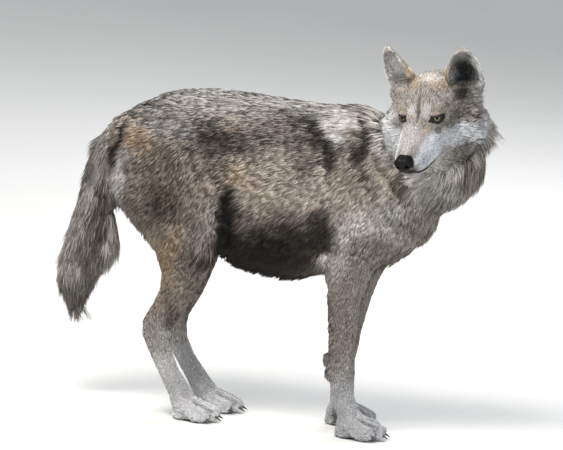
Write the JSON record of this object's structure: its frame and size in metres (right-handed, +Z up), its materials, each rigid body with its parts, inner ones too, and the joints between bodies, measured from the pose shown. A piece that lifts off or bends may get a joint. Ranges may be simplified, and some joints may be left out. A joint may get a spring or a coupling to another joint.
{
  "type": "timber wolf",
  "caption": "Life-size still model of a timber wolf that stands on all four paws with its head turned a quarter-turn to its right and a little lowered, with pricked ears and a hanging brush.",
  "frame": {"origin": "on the floor under the middle of the model's length and width", "axes": "+X towards the chest, along the body; +Y to the animal's left; +Z up"},
  "size_m": [0.9178, 0.3642, 0.8655],
  "materials": {
    "coat": "long grizzled grey-brown fur",
    "pale_coat": "short cream-grey fur",
    "nose_leather": "damp black nose leather",
    "claw_horn": null,
    "eye": "amber-green eye under a clear cornea"
  },
  "bodies": {
    "root": {"ear_left": "coat", "ear_right": "coat", "eye_left": "eye", "eye_right": "eye", "foreleg_left_claw_1": "claw_horn", "foreleg_left_claw_2": "claw_horn", "foreleg_left_claw_3": "claw_horn", "foreleg_left_claw_4": "claw_horn", "foreleg_left_dewclaw": "claw_horn", "foreleg_left_forearm": "pale_coat", "foreleg_left_paw": "pale_coat", "foreleg_left_upper": "coat", "foreleg_right_claw_1": "claw_horn", "foreleg_right_claw_2": "claw_horn", "foreleg_right_claw_3": "claw_horn", "foreleg_right_claw_4": "claw_horn", "foreleg_right_dewclaw": "claw_horn", "foreleg_right_forearm": "pale_coat", "foreleg_right_paw": "pale_coat", "foreleg_right_upper": "coat", "head": "coat", "hindleg_left_claw_1": "claw_horn", "hindleg_left_claw_2": "claw_horn", "hindleg_left_claw_3": "claw_horn", "hindleg_left_claw_4": "claw_horn", "hindleg_left_metatarsus": "pale_coat", "hindleg_left_paw": "pale_coat", "hindleg_left_shank": "coat", "hindleg_left_thigh": "coat", "hindleg_right_claw_1": "claw_horn", "hindleg_right_claw_2": "claw_horn", "hindleg_right_claw_3": "claw_horn", "hindleg_right_claw_4": "claw_horn", "hindleg_right_metatarsus": "pale_coat", "hindleg_right_paw": "pale_coat", "hindleg_right_shank": "coat", "hindleg_right_thigh": "coat", "neck": "coat", "nose": "nose_leather", "tail": "coat", "trunk": "coat"}
  },
  "joints": []
}
